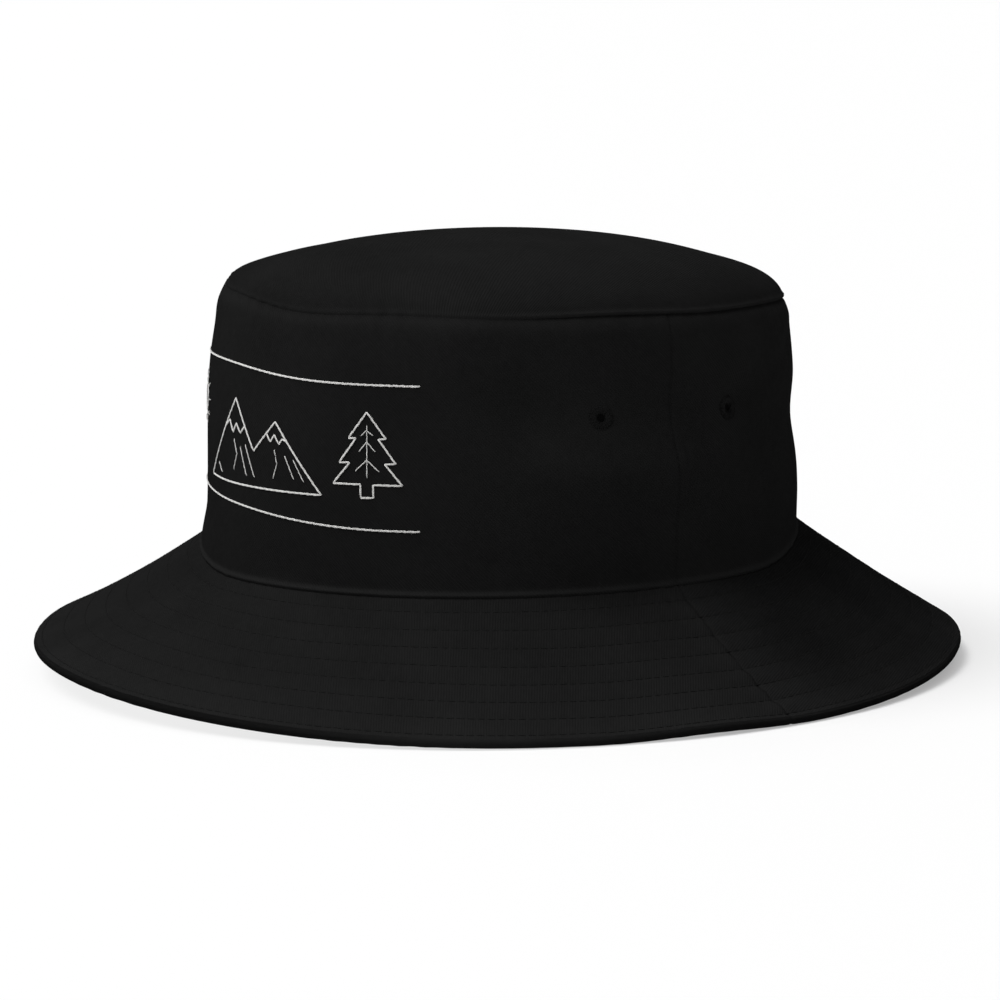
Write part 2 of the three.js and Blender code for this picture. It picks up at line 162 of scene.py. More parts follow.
slow_wall = wave_field(11, (2, 7), 60)
slow_brim = wave_field(23, (3, 9), 50)
slow_tip = wave_field(31, (1, 4), 55)
tip_puckers = wave_field(41, (46, 96), 60, 14)
base_puckers = wave_field(43, (50, 104), 60, 14)
brim_ripples = wave_field(47, (60, 150), 500, 16)
seam_ripples = wave_field(53, (0, 10), 900, 10)
patchiness = wave_field(59, (3, 11), 90)
seam_wander = wave_field(61, (2, 9), 0)

# ---------- the crown wall

# Soft creases pressed into the crown: from (degrees, mm above the base seam) to the same, then the
# width and depth in mm. A negative depth stands proud.
CREASES = (
    ((140, 71), (108, 59), 7, 2.3),
    ((140, 83), (112, 73), 8, -1.2),
    ((150, 45), (122, 40), 14, 2.2),
    ((64, 58), (97, 57), 13, 2.7),
    ((66, 42), (80, 38), 9, -1.6),
    ((70, 34), (98, 36), 12, -2.0),
    ((56, 2), (55, 10), 2.2, 0.6),
    ((56, 76), (55, 84), 2.2, 0.6),
    ((22, 76), (17, 84), 3.0, 0.6),
    ((-118, 64), (-92, 52), 9, 1.4),
    ((-70, 30), (-48, 38), 12, 1.2),
    ((196, 60), (222, 46), 9, 1.5),
    ((188, 22), (170, 28), 10, 0.9),
    ((-37, 24), (-37, 66), 30, 1.6),
)


def crease_relief(angle, height):
    total = 0 * angle
    for (from_degrees, from_mm), (to_degrees, to_mm), width, depth in CREASES:
        start = math.radians(from_degrees)
        run = np.array([math.radians(to_degrees - from_degrees) * MEAN_RADIUS, (to_mm - from_mm) * MM])
        x = wrapped(angle - start) * MEAN_RADIUS
        y = height - from_mm * MM
        share = np.clip((x * run[0] + y * run[1]) / run.dot(run), 0, 1)
        distance = np.hypot(x - share * run[0], y - share * run[1])
        total = total - depth * MM * bump(distance, width * MM)
    return total


def slump(angle):
    """How far the crown's top has sunk in over the right temple."""
    return 2.4 * MM * np.maximum(np.cos(angle - TIP_TILT_HEADING), 0) ** 2


def seam_turn(angle):
    """Where the tip seam lies on the tip's dome: a quarter turn from its middle, or a little less."""
    return QUARTER - swelling(angle, (SEAM_CLIMB,))


def drawn_in(angle):
    return (MEAN_RADIUS - TIP_INSET) * (1 - np.sin(seam_turn(angle)))


def wall_reach(angle, height):
    share = np.clip(height / CROWN_HEIGHT, 0, 1)
    inward = (slump(angle) + drawn_in(angle)) * share**5
    return -WALL_LEAN * share - (TIP_INSET - WALL_LEAN) * share**10 - inward


def seam_crispness(angle):
    """The tip seam is pressed sharp behind the left side and lies soft over the right temple."""
    return 0.1 + 0.9 * eased((np.cos(angle - math.radians(115)) - 0.35) * 2)


def side_seam_relief(distance, along, groove_depth):
    """A pressed seam: a groove between two rounded folds, with short pulls across it."""
    groove = -groove_depth * bump(distance, 0.55 * MM)
    folds = 0.3 * groove_depth * bump(np.abs(distance) - 1.9 * MM, 1.4 * MM)
    pulls = 0.12 * MM * seam_ripples(0 * along, along) * bump(distance, 6 * MM)
    return groove + folds + pulls


def wall_folds(angle, height):
    """The wide, soft dents of the crown, which its inner face follows too."""
    folds = 0.55 * MM * slow_wall(angle, height) + crease_relief(angle, height)
    return folds * eased(height / (16 * MM)) * eased((CROWN_HEIGHT - height) / (14 * MM))


def seam_puckers(angle, from_seam):
    """The short folds that the tip seam draws into the cloth on both its sides."""
    patches = 0.6 + 0.4 * patchiness(angle, 0 * from_seam)
    return 0.27 * MM * tip_puckers(angle, from_seam) * patches * np.exp(-from_seam / (7 * MM))


def wall_relief(angle, height):
    from_tip = CROWN_HEIGHT - height
    patches = 0.6 + 0.4 * patchiness(angle, height)
    base = 0.14 * MM * base_puckers(angle, height) * patches * np.exp(-np.abs(height) / (6 * MM))
    side = side_seam_relief(seam_distance(angle, MEAN_RADIUS), height, 0.38 * MM)
    bead = 0.65 * MM * bump(height - 1.0 * MM, 0.8 * MM)
    tuck = -0.25 * MM * eased(-height / (1.2 * MM))
    groove = -0.5 * MM * seam_crispness(angle) * bump(from_tip, 0.7 * MM)
    allowance = 0.55 * MM * patches * bump(from_tip - 4.5 * MM, 3.2 * MM)
    return seam_puckers(angle, from_tip) + base + side + bead + tuck + groove + allowance


def ring(angle, reach, z):
    x = (HALF_WIDTH + reach) * np.sin(angle)
    y = -(HALF_LENGTH + reach) * np.cos(angle)
    return np.stack([x, y, z + 0 * x], axis=-1)


def tip_tilt(angle):
    return TIP_TILT * np.cos(angle - TIP_TILT_HEADING)


def tip_seam_wander(angle):
    return 0.7 * MM * seam_wander(angle, 0 * angle)


def tip_seam_lift(angle):
    """How far the tip seam lies above the level of the dome's plain edge."""
    end = seam_turn(angle)
    return TIP_RISE * np.cos(end) + tip_tilt(angle) * np.sin(end)


def wall_z(angle, height):
    share = np.clip(height / CROWN_HEIGHT, 0, 1)
    tilt = tip_tilt(angle)
    lifted = swelling(angle, SEAM_SWELLS) * (1 - share) + tilt * share
    climbed = (tip_seam_lift(angle) - tilt) * share**8
    return SEAM_HEIGHT + height + lifted + climbed + tip_seam_wander(angle) * share**3


def behind_wall(angle, height, depth):
    """A point this far inside the crown side's plain outer face."""
    return ring(angle, wall_reach(angle, height) + wall_folds(angle, height) - depth, wall_z(angle, height))


def wall_place(angle, height, depth=0):
    """The crown side, by its height above the base seam."""
    return behind_wall(angle, height, depth if depth else -wall_relief(angle, height))


# ---------- the tip


def tip_swell(x, y, share):
    """The tip's soft unevenness, by its place from -1 to 1 across the panel."""
    waves = 0.7 * MM * slow_tip(2.2 * x, 50 * MM * y)
    dent = -1.2 * MM * bump(x - 0.25, 0.22) * bump(y + 0.45, 0.26)
    return (waves + dent) * eased((1 - share) * 3)


def dome_run(turn):
    """Distance along the tip from the level of the dome's plain edge."""
    return TIP_RISE * np.cos(turn) + (HALF_WIDTH - TIP_INSET) * (1 - np.sin(turn))


def shoulder_dip(angle, from_seam):
    """How far the dome has sunk just inside its seam, where the seam climbs."""
    distance = from_seam / (9 * MM)
    return swelling(angle, (SHOULDER_DIP,)) * distance * np.exp(1 - distance)


def tip_place(angle, share, depth=0):
    """The tip panel, from its middle (0) to its seam (1)."""
    end = seam_turn(angle)
    turn = share * end
    x, y = np.sin(turn) * np.sin(angle), -np.sin(turn) * np.cos(angle)
    from_seam = dome_run(turn) - dome_run(end)
    relief = -depth
    if not depth:
        ridge = 0.5 * MM * seam_crispness(angle) * bump(from_seam - 1.0 * MM, 0.8 * MM)
        groove = -0.5 * MM * seam_crispness(angle) * bump(from_seam, 0.5 * MM)
        relief = seam_puckers(angle, from_seam) * share + ridge + groove
    sunk = (slump(angle) + drawn_in(angle)) * share**6
    spread = np.sin(turn) + (1 - np.sin(end)) * share**6
    reach = (relief - sunk) * share - TIP_INSET * spread
    lift = TIP_RISE * np.cos(turn) + tip_tilt(angle) * np.sin(turn) + tip_seam_wander(angle) * share**3
    lift = lift + tip_swell(x, y, share) - shoulder_dip(angle, from_seam)
    z = SEAM_HEIGHT + CROWN_HEIGHT + lift + relief * np.cos(turn)
    across = (HALF_WIDTH * spread + reach) * np.sin(angle)
    ahead = -(HALF_LENGTH * spread + reach) * np.cos(angle)
    return np.stack([across, ahead, z], axis=-1)


# ---------- the brim


def fallen(share):
    return (1 + BRIM_BOW) * share - BRIM_BOW * share**2


def brim_middle(angle, share):
    """Reach and height of the middle of the brim's thickness."""
    start = SEAM_HEIGHT + swelling(angle, SEAM_SWELLS) - BRIM_STACK / 2
    drop = (start - EDGE_RADIUS - swelling(angle, BRIM_SWELLS)) / fallen(EDGE_SHARE)
    return BRIM_REACH * share, start - drop * fallen(share)


def row_distance(slant):
    """Distance to the nearest row of topstitching."""
    nearest = np.clip(np.round((slant - FIRST_ROW) / ROW_SPACING), 0, ROWS - 1)
    return slant - FIRST_ROW - nearest * ROW_SPACING


def brim_waves(angle, share):
    """Soft unevenness that both faces of the brim share. It dies away at the seam and the edge."""
    return 0.6 * MM * slow_brim(angle, share * BRIM_SLANT) * eased(share * 2.5) * eased((1.08 - share) * 3)


def brim_relief(angle, share):
    slant = share * BRIM_SLANT
    from_row = row_distance(slant)
    across = seam_distance(angle, MEAN_RADIUS + share * BRIM_REACH)
    quilting = -0.08 * MM * bump(from_row, 0.7 * MM)
    puff = 0.07 * MM * np.cos(np.clip(np.abs(from_row) / ROW_SPACING - 0.5, -0.5, 0.5) * math.pi)
    patches = 0.45 + 0.55 * patchiness(angle, slant)
    ripples = 0.07 * MM * brim_ripples(angle, slant) * patches
    pulls = -0.22 * MM * bump(across, 9 * MM) * np.cos(from_row / ROW_SPACING * FULL)
    seam = side_seam_relief(across, slant, 0.24 * MM)
    start = 0.2 * MM * np.exp(-np.maximum(slant, 0) / (1.0 * MM))
    return quilting + puff + ripples + pulls + seam + start


def brim_place(side):
    """The brim's top (side 1) or underside (side -1).

    Its second number runs from 0 at the seam to 1 where the edge starts to turn, then to 2 at the
    very edge, where the two faces are sewn together.
    """

    def place(angle, run, depth=0):
        share = np.clip(run, -0.05, 1) * EDGE_SHARE
        turn = np.clip(run - 1, 0, 1) * QUARTER
        step = 1e-4
        reach, z = brim_middle(angle, share)
        reach_on, z_on = brim_middle(angle, share + step)
        length = np.hypot(reach_on - reach, z_on - z)
        out, down = (reach_on - reach) / length, (z_on - z) / length
        radius = EDGE_RADIUS - depth
        if not depth:
            radius = radius + brim_relief(angle, share) * np.cos(turn)
            radius = radius - 0.15 * MM * bump((QUARTER - turn) * EDGE_RADIUS, 0.3 * MM)
        lift = side * radius * np.cos(turn) + brim_waves(angle, share)
        ahead = radius * np.sin(turn)
        return ring(angle, reach + out * ahead - down * lift, z + down * ahead + out * lift)

    return place


# ---------- faces of cloth


class Face:
    """One face of the hat's cloth.

    place(angle, along, depth) gives its points: with all its relief at depth 0, and as a plain
    lining at any depth behind that. cut(angle, along) gives the same points on the flat cloth
    before it was sewn. metres is the size of one unit of along. outward is 1 where the face looks
    away from the wall's middle with angle and along as its right and up, and -1 where it looks back.
    """

    def __init__(self, place, cut, metres, outward):
        self.place, self.cut, self.metres, self.outward = place, cut, metres, outward

    def normal(self, angle, along):
        step = 0.1 * MM
        turn, reach = step / MEAN_RADIUS, step / self.metres
        sideways = self.place(angle + turn, along, CLOTH) - self.place(angle - turn, along, CLOTH)
        onward = self.place(angle, along + reach, CLOTH) - self.place(angle, along - reach, CLOTH)
        return unit(np.cross(sideways, onward) * self.outward)


def wall_cut(angle, height):
    return np.stack([angle * MEAN_RADIUS, height + 0 * angle], axis=-1)


def tip_cut(angle, share):
    radius = share * (HALF_LENGTH - TIP_INSET)
    return np.stack([radius * np.sin(angle), -radius * np.cos(angle)], axis=-1)


def brim_cut(angle, run):
    """A brim half laid flat is part of a ring, so its weave turns against the brim's edge."""
    flatness = BRIM_REACH / BRIM_SLANT
    middle = np.where(np.cos(angle) > 0, 0, math.pi)
    radius = MEAN_RADIUS / flatness + run * BRIM_SLANT
    turn = wrapped(angle - middle) * flatness
    return np.stack([radius * np.sin(turn), -radius * np.cos(turn)], axis=-1)


wall = Face(wall_place, wall_cut, 1, 1)
tip = Face(tip_place, tip_cut, HALF_LENGTH, -1)
brim_top = Face(brim_place(1), brim_cut, BRIM_SLANT * EDGE_SHARE, -1)
brim_under = Face(brim_place(-1), brim_cut, BRIM_SLANT * EDGE_SHARE, 1)

# ---------- building meshes


def new_object(name, vertices, faces, cut, wear_and_painted_light=None):
    """A smooth mesh object, its flat-cloth places as its UV map, its wear and its painted light and shade
    marked.
    """
    mesh = bpy.data.meshes.new(name)
    mesh.from_pydata(vertices.tolist(), [], faces)
    layer = mesh.uv_layers.new(name="cut")
    corners = np.empty(len(mesh.loops), dtype=np.int32)
    mesh.loops.foreach_get("vertex_index", corners)
    layer.data.foreach_set("uv", cut[corners].astype(np.float32).ravel())
    if wear_and_painted_light is not None:
        mark = mesh.attributes.new("wear_and_painted_light", "FLOAT", "POINT")
        mark.data.foreach_set("value", wear_and_painted_light.astype(np.float32))
    mesh.shade_smooth()
    mesh.set_sharp_from_angle(angle=math.radians(50))
    piece = bpy.data.objects.new(name, mesh)
    bpy.context.collection.objects.link(piece)
    return piece


def stations(start, end, step, places=(), offsets=()):
    """Even steps from start to end, with closer ones at these offsets on both sides of some places."""
    close = {place + side * offset for place in places for offset in offsets for side in (-1, 1)}
    close = np.array(sorted(p for p in close if start < p < end) or [math.inf])
    even = np.linspace(start, end, max(2, round((end - start) / step) + 1))
    clear = np.abs(even[:, None] - close).min(axis=1) > 0.45 * step
    clear[[0, -1]] = True
    joined = np.sort(np.concatenate([even[clear], close[np.isfinite(close)]]))
    return joined[np.concatenate([[True], np.diff(joined) > 1e-7])]


def grid(angles, alongs):
    return np.meshgrid(angles, alongs, indexing="ij")


def opened(face, angles, alongs, hole):
    """Moves the grid's points onto the rim of a round hole, and tells which cells it removes."""
    hole_angle, hole_along, radius = hole
    x = wrapped(angles - hole_angle) * MEAN_RADIUS
    y = (alongs - hole_along) * face.metres
    cell_x = (x[:-1, :-1] + x[1:, 1:]) / 2
    cell_y = (y[:-1, :-1] + y[1:, 1:]) / 2
    gone = np.hypot(cell_x, cell_y) < radius
    touched = np.zeros(x.shape, dtype=bool)
    for i, j in ((0, 0), (1, 0), (0, 1), (1, 1)):
        touched[i : i + gone.shape[0], j : j + gone.shape[1]] |= gone
    scale = np.where(touched, radius / np.maximum(np.hypot(x, y), 1e-9), 1)
    angles += (scale - 1) * x / MEAN_RADIUS
    alongs += (scale - 1) * y / face.metres
    return gone


def open_edges(cells):
    """The edges that only one cell has, in that cell's own direction."""
    edges = np.concatenate([cells[:, [k, (k + 1) % 4]] for k in range(4)])
    size = cells.max() + 1
    forward, backward = edges[:, 0] * size + edges[:, 1], edges[:, 1] * size + edges[:, 0]
    return edges[~np.isin(forward, backward)]


def cloth(name, face, points, thickness=CLOTH, depth=0, holes=(), wear_and_painted_light=None):
    """A sheet of cloth with an outer face, an inner face and cut edges, as one closed mesh."""
    angle, along = (values.copy() for values in points)
    count = angle.size
    point = np.arange(count).reshape(angle.shape)
    cells = np.stack([point[:-1, :-1], point[1:, :-1], point[1:, 1:], point[:-1, 1:]], axis=-1)
    kept = np.ones(cells.shape[:2], dtype=bool)
    for hole in holes:
        kept &= ~opened(face, angle, along, hole)
    cells = cells[kept]
    if face.outward < 0:
        cells = cells[:, ::-1]
    rim = open_edges(cells)
    rims = np.stack([rim[:, 1], rim[:, 0], rim[:, 0] + count, rim[:, 1] + count], axis=-1)
    faces = np.concatenate([cells, cells[:, ::-1] + count, rims])
    sides = [face.place(angle, along, depth), face.place(angle, along, depth + thickness)]
    vertices = np.concatenate([side.reshape(-1, 3) for side in sides])
    used = np.zeros(2 * count, dtype=bool)
    used[faces.ravel()] = True
    number = np.cumsum(used) - 1
    flat = np.tile(face.cut(angle, along).reshape(-1, 2), (2, 1))
    painted_light_and_wear = np.zeros(count) if wear_and_painted_light is None else wear_and_painted_light(angle, along).reshape(-1)
    return new_object(name, vertices[used], number[faces].tolist(), flat[used], np.tile(painted_light_and_wear, 2)[used])


# Each section of a stitch: its place along the stitch and its share of the thread's radius.
STITCH_SECTIONS = ((-0.5, 0.4), (-0.42, 0.85), (-0.2, 1.0), (0.2, 1.0), (0.42, 0.85), (0.5, 0.4))


def spokes(across, up, turn):
    """The directions at these turns from across towards up."""
    return across[:, None] * np.cos(turn)[:, None] + up[:, None] * np.sin(turn)[:, None]


def threads(name, starts, ends, ups, radius, arch=0.0, sides=6):
    """Many short lengths of thread, each from a start to an end, arched towards its up direction."""
    run = ends - starts
    length = np.linalg.norm(run, axis=1)
    across = unit(np.cross(unit(run), ups))
    up = np.cross(across, unit(run))
    turn = np.arange(sides) * FULL / sides
    around = spokes(across, up, turn) * radius
    points, cut = [], []
    for place, size in STITCH_SECTIONS:
        middle = (starts + ends) / 2 + run * place + up * (arch * (1 - (2 * place) ** 2))
        points.append(middle[:, None] + around * size)
        u = np.repeat((place * length)[:, None], sides, axis=1)
        cut.append(np.stack([u, np.broadcast_to(radius * turn, u.shape)], axis=-1))
    vertices = np.stack(points, axis=1).reshape(-1, 3)
    places = np.stack(cut, axis=1).reshape(-1, 2)
    number = np.arange(len(vertices)).reshape(-1, len(STITCH_SECTIONS), sides).swapaxes(0, 1)
    here, there = number[:-1], number[1:]
    quads = here, there, np.roll(there, -1, axis=-1), np.roll(here, -1, axis=-1)
    faces = np.stack(quads, axis=-1).reshape(-1, 4).tolist()
    return new_object(name, vertices, faces + number[0].tolist() + number[-1, :, ::-1].tolist(), places)


def paced(points, pitch):
    """How far each of a line's points lies along it, and evenly spaced places for stitches."""
    legs = np.linalg.norm(np.diff(points, axis=0), axis=1)
    travelled = np.concatenate([[0], np.cumsum(legs)])
    count = max(1, round(travelled[-1] / pitch))
    return travelled, (np.arange(count) + 0.5) * travelled[-1] / count


def sewn(face, path, pitch, length, lift):
    """The starts, ends and up directions of the stitches of one row, along a path on a face."""
    angle, along = (np.asarray(values, dtype=float) for values in path)
    travelled, middles = paced(face.place(angle, along), pitch)
    tips = []
    for half in (-length / 2, length / 2):
        at = np.clip(middles + half, 0, travelled[-1])
        place = np.interp(at, travelled, angle), np.interp(at, travelled, along)
        tips.append(face.place(*place) + lift * face.normal(*place))
    ups = face.normal(np.interp(middles, travelled, angle), np.interp(middles, travelled, along))
    return tips[0], tips[1], ups


def level_rows(angles, alongs):
    return [(angles, np.full(len(angles), along)) for along in alongs]


def gathered(rows):
    """Several sets of stitches as one."""
    return [np.concatenate(parts) for parts in zip(*rows)]


def dressed(piece, slot, *nodes, material=None):
    """Gives a piece its slot's material, or another, and hides the CAD nodes that it stands for."""
    piece.data.materials.append(material or LOOKS[slot])
    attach(piece, "root")
    if nodes:
        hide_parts(*nodes)


# ---------- materials


class Nodes:
    """A material's nodes. A setting that is a socket is linked; any other is the socket's value."""

    def __init__(self, name):
        self.material = bpy.data.materials.new(name)
        self.material.use_nodes = True
        self.tree = self.material.node_tree
        self.shader = self.tree.nodes["Principled BSDF"]

    def fill(self, socket, value):
        if isinstance(value, bpy.types.NodeSocket):
            self.tree.links.new(value, socket)
        else:
            socket.default_value = value

    def node(self, kind, **inputs):
        """A new node of this kind, with some of its inputs filled."""
        node = self.tree.nodes.new(f"ShaderNode{kind}")
        for name, value in inputs.items():
            self.fill(node.inputs[name], value)
        return node

    def maths(self, operation, *values):
        node = self.node("Math")
        node.operation = operation
        for socket, value in zip(node.inputs, values):
            self.fill(socket, value)
        return node.outputs[0]

    def flat_place(self):
        """The place on the flat cloth, as two numbers in metres."""
        place = self.node("UVMap")
        place.uv_map = "cut"
        split = self.node("SeparateXYZ", Vector=place.outputs[0])
        return split.outputs[0], split.outputs[1]

    def place(self):
        """The place in space, in metres."""
        return self.node("TexCoord").outputs["Object"]

    def noise(self, size, detail=2.0, roughness=0.5):
        """Soft 3D noise with lumps of about this size in metres, around a half."""
        settings = {"Scale": 1 / size, "Detail": detail, "Roughness": roughness}
        return self.node("TexNoise", Vector=self.place(), **settings).outputs["Fac"]

    def wave(self, distance, length):
        """A sine wave of this length over a distance, from -1 to 1."""
        return self.maths("SINE", self.maths("MULTIPLY", distance, FULL / length))

    def total(self, *weighted):
        """The sum of (value, weight) pairs."""
        sum_so_far = 0.0
        for value, weight in weighted:
            sum_so_far = self.maths("MULTIPLY_ADD", value, weight, sum_so_far)
        return sum_so_far

    # The mark lightens the base colour: real wear on edges and seams, and painted light and shade on the
    # brim.
    def painted_light_and_wear(self):
        node = self.node("Attribute")
        node.attribute_name = "wear_and_painted_light"
        return node.outputs["Fac"]

    def shade(self, dark, light, share):
        """The base colour, from a dark one to a light one."""
        node = self.node("Mix")
        node.data_type = "RGBA"
        node.clamp_factor = True
        for socket, value in ((0, share), (6, (*dark, 1)), (7, (*light, 1))):
            self.fill(node.inputs[socket], value)
        self.fill(self.shader.inputs["Base Color"], node.outputs[2])

    def relief(self, height, distance):
        node = self.node("Bump", Height=height, Distance=distance)
        self.fill(self.shader.inputs["Normal"], node.outputs[0])

    def surface(self, roughness, specular, sheen=0.0):
        settings = {"Roughness": roughness, "Specular IOR Level": specular, "Sheen Weight": sheen}
        for name, value in settings.items():
            self.fill(self.shader.inputs[name], value)
        return self.material


def twill(name, dark, light):
    """Cotton twill: slanting ribs of short floats, a brushed surface and slightly uneven dye."""
    nodes = Nodes(name)
    across, up = nodes.flat_place()
    wander = nodes.noise(9 * MM)
    slant = nodes.total((across, 0.707), (up, 0.707), (wander, 0.4 * MM))
    ribs = nodes.wave(slant, 0.8 * MM)
    floats = nodes.wave(nodes.total((across, 0.35), (up, 1.0)), 0.42 * MM)
    fuzz = nodes.noise(0.35 * MM, detail=3.0)
    dye = nodes.noise(28 * MM, detail=3.0)
    slubs = nodes.noise(2.2 * MM)
    shade = nodes.total((ribs, 0.13), (floats, 0.06), (dye, 0.8), (slubs, 0.5), (nodes.painted_light_and_wear(), 0.7))
    nodes.shade(dark, light, nodes.maths("SUBTRACT", shade, 0.25))
    nodes.relief(nodes.total((ribs, 0.45), (floats, 0.1), (fuzz, 0.4)), 0.1 * MM)
    return nodes.surface(roughness=0.9, specular=0.0)


def tape(name, dark, light):
    """Plain-woven cotton tape with fine crosswise ribs."""
    nodes = Nodes(name)
    across, up = nodes.flat_place()
    weft, warp = nodes.wave(across, 0.55 * MM), nodes.wave(up, 0.4 * MM)
    weave = nodes.maths("MULTIPLY", weft, warp)
    shade = nodes.total((weave, 0.18), (nodes.noise(6 * MM), 0.9), (nodes.painted_light_and_wear(), 0.5))
    nodes.shade(dark, light, nodes.maths("SUBTRACT", shade, 0.1))
    nodes.relief(nodes.total((weave, 0.6), (nodes.noise(0.4 * MM), 0.4)), 0.1 * MM)
    return nodes.surface(roughness=0.78, specular=0.06, sheen=0.02)


def thread(name, dark, light, roughness, specular, sheen):
    """Twisted sewing thread."""
    nodes = Nodes(name)
    along, around = nodes.flat_place()
    plies = nodes.wave(nodes.total((along, 1.0), (around, 0.9)), 0.55 * MM)
    shade = nodes.total((plies, 0.25), (nodes.noise(1.4 * MM), 1.0))
    nodes.shade(dark, light, shade)
    nodes.relief(plies, 0.05 * MM)
    return nodes.surface(roughness=roughness, specular=specular, sheen=sheen)


def felt(name, dark, light):
    """Pressed fibres, without a weave."""
    nodes = Nodes(name)
    fibres = nodes.noise(0.5 * MM, detail=5.0, roughness=0.7)
    nodes.shade(dark, light, nodes.total((fibres, 1.2), (nodes.noise(5 * MM), 0.4)))
    nodes.relief(fibres, 0.12 * MM)
    return nodes.surface(roughness=0.9, specular=0.02)


def satin(name, dark, light):
    """Satin ribbon: fine long floats that shine a little."""
    nodes = Nodes(name)
    across, up = nodes.flat_place()
    floats = nodes.wave(across, 0.25 * MM)
    nodes.shade(dark, light, nodes.total((floats, 0.1), (nodes.noise(3 * MM), 1.0)))
    nodes.relief(nodes.total((floats, 0.5), (nodes.wave(up, 1.1 * MM), 0.2)), 0.04 * MM)
    return nodes.surface(roughness=0.42, specular=0.5, sheen=0.1)


def grey(value):
    return (value,) * 3


# The material of each of the record's slots.
LOOKS = {
    "black_twill": twill("black_twill", grey(0.0079), grey(0.0138)),
    "black_tape": tape("black_tape", (0.0075, 0.0075, 0.0076), (0.0130, 0.0130, 0.0131)),
    "black_thread": thread("black_thread", grey(0.0094), grey(0.0156), 0.75, 0, 0),
    "white_thread": thread("white_thread", (0.62, 0.61, 0.59), (0.84, 0.835, 0.82), 0.42, 0.4, 0.3),
    "white_nonwoven": felt("white_nonwoven", (0.58, 0.58, 0.55), (0.74, 0.74, 0.71)),
    "black_nonwoven": felt("black_nonwoven", grey(0.012), grey(0.022)),
    "white_satin": satin("white_satin", (0.66, 0.66, 0.63), (0.78, 0.78, 0.75)),
}
# For the back half of the brim: the same twill with a darker colour, painted shade for the crown's soft
# shadow on it.
back_twill_painted_shade = twill("black_twill_painted_shade", grey(0.0062), grey(0.0138))

# ---------- crown

LOWER_PANEL, UPPER_PANEL = 8 * MM, 78 * MM  # the mesh is finer below and above these heights
TIP_EDGE_RUN = 32 * MM  # distance along the tip for one unit of share, near its seam
FRONT_HALF = (-QUARTER, QUARTER)
BACK_HALF = (QUARTER, 3 * QUARTER)
TURN_STEP = FULL / 600
SIDE_SEAM_STEPS = [step * MM / MEAN_RADIUS for step in (0.2, 0.4, 0.6, 0.85, 1.2, 1.6, 2.0, 2.5, 3.1)]
EYELET_STEPS = [k * 0.45 * MM for k in range(11)]


def wall_wear(angle, height):
    """Cloth rubbed a little paler on the folds beside the seams."""
    return bump(height - 1.4 * MM, 1.2 * MM) + 0.5 * bump(CROWN_HEIGHT - height - 1.5 * MM, 1.5 * MM)


def crown_panel(name, node, half, eyelets):
    start, end = half
    holes = [(angle, EYELET_HEIGHT, EYELET_CUT) for angle in eyelets]
    turns = [offset / MEAN_RADIUS for offset in EYELET_STEPS]
    angles = np.union1d(
        stations(start, end, TURN_STEP, (start, end), SIDE_SEAM_STEPS),
        stations(start, end, TURN_STEP, eyelets, turns),
    )
    angles = angles[np.concatenate([[True], np.diff(angles) > 0.12 * MM / MEAN_RADIUS])]
    angles[-1] = end
    bead = [k * 0.28 * MM for k in range(9)]
    seam = [k * 0.25 * MM for k in range(1, 9)]
    lower = stations(-2.2 * MM, LOWER_PANEL, 1.2 * MM, (1.2 * MM,), bead)
    middle = stations(LOWER_PANEL, UPPER_PANEL, 1.5 * MM, (EYELET_HEIGHT,), EYELET_STEPS)
    upper = stations(UPPER_PANEL, CROWN_HEIGHT, 1.0 * MM, (CROWN_HEIGHT,), seam)
    heights = np.concatenate([lower, middle[1:], upper[1:]])
    piece = cloth(name, wall, grid(angles, heights), holes=holes, wear_and_painted_light=wall_wear)
    dressed(piece, "black_twill", node)


def disc(steps):
    """Angles and shares of a round panel, as a square grid drawn out to a circle."""
    across = np.linspace(-1, 1, steps + 1)
    v, u = grid(across, across)
    wide = np.abs(u) >= np.abs(v)
    radius = np.where(wide, u, v)
    slope = np.where(wide, v, u) / np.where(radius == 0, 1, radius)
    turn = np.where(wide, slope, 2 - slope) * QUARTER / 2
    x, y = radius * np.cos(turn), radius * np.sin(turn)
    share = np.interp(np.abs(radius), (0, 0.84, 1), (0, 0.955, 1))
    return np.arctan2(x, -y), share


def tip_wear(angle, share):
    return 0.8 * bump((1 - share) * TIP_EDGE_RUN - 1.0 * MM, 1.0 * MM)


front_eyelets = [EYELET_ANGLES["left_front"], EYELET_ANGLES["right_front"]]
back_eyelets = [EYELET_ANGLES["left_rear"], EYELET_ANGLES["right_rear"] + FULL]
crown_panel("crown_front_cloth", "crown_front_panel", FRONT_HALF, front_eyelets)
crown_panel("crown_back_cloth", "crown_back_panel", BACK_HALF, back_eyelets)
dressed(cloth("crown_tip_cloth", tip, disc(160), wear_and_painted_light=tip_wear), "black_twill", "crown_tip")

# ---------- brim

BRIM_START = -0.012  # the cloth starts a little inside the base seam
TURNED_EDGE = 2.2 * MM  # distance round the edge for one unit of run
ROW_STEPS = [step * MM / brim_top.metres for step in (0, 0.35, 0.8, 1.5)]
ROW_RUNS = [(FIRST_ROW + row * ROW_SPACING) / BRIM_SLANT / EDGE_SHARE for row in range(ROWS)]


def brim_seam_distance(angle):
    return seam_distance(angle, MEAN_RADIUS + BRIM_REACH / 2)


def brim_wear_and_painted_light(angle, run):
    """Cloth rubbed paler on the turned edge, and painted light: a paler band beside the side seams' upper
    ends, where the front half's tone meets the back half's painted shade.
    """
    # painted light: a lighter band beside the side seams, fading towards the edge
    seam_light_painted = 0.55 * (1 - np.clip(run, 0, 1)) * bump(brim_seam_distance(angle), 19 * MM)
    return 0.8 * bump((run - 1.3) * TURNED_EDGE, 1.0 * MM) + seam_light_painted


def back_wear_and_painted_shade(angle, run):
    """The same on the back half, plus painted shade: darker away from the seams, and lighter close to them,
    where it meets the front half.
    """
    return brim_wear_and_painted_light(angle, run) - 0.3 + 0.35 * bump(brim_seam_distance(angle), 13 * MM)


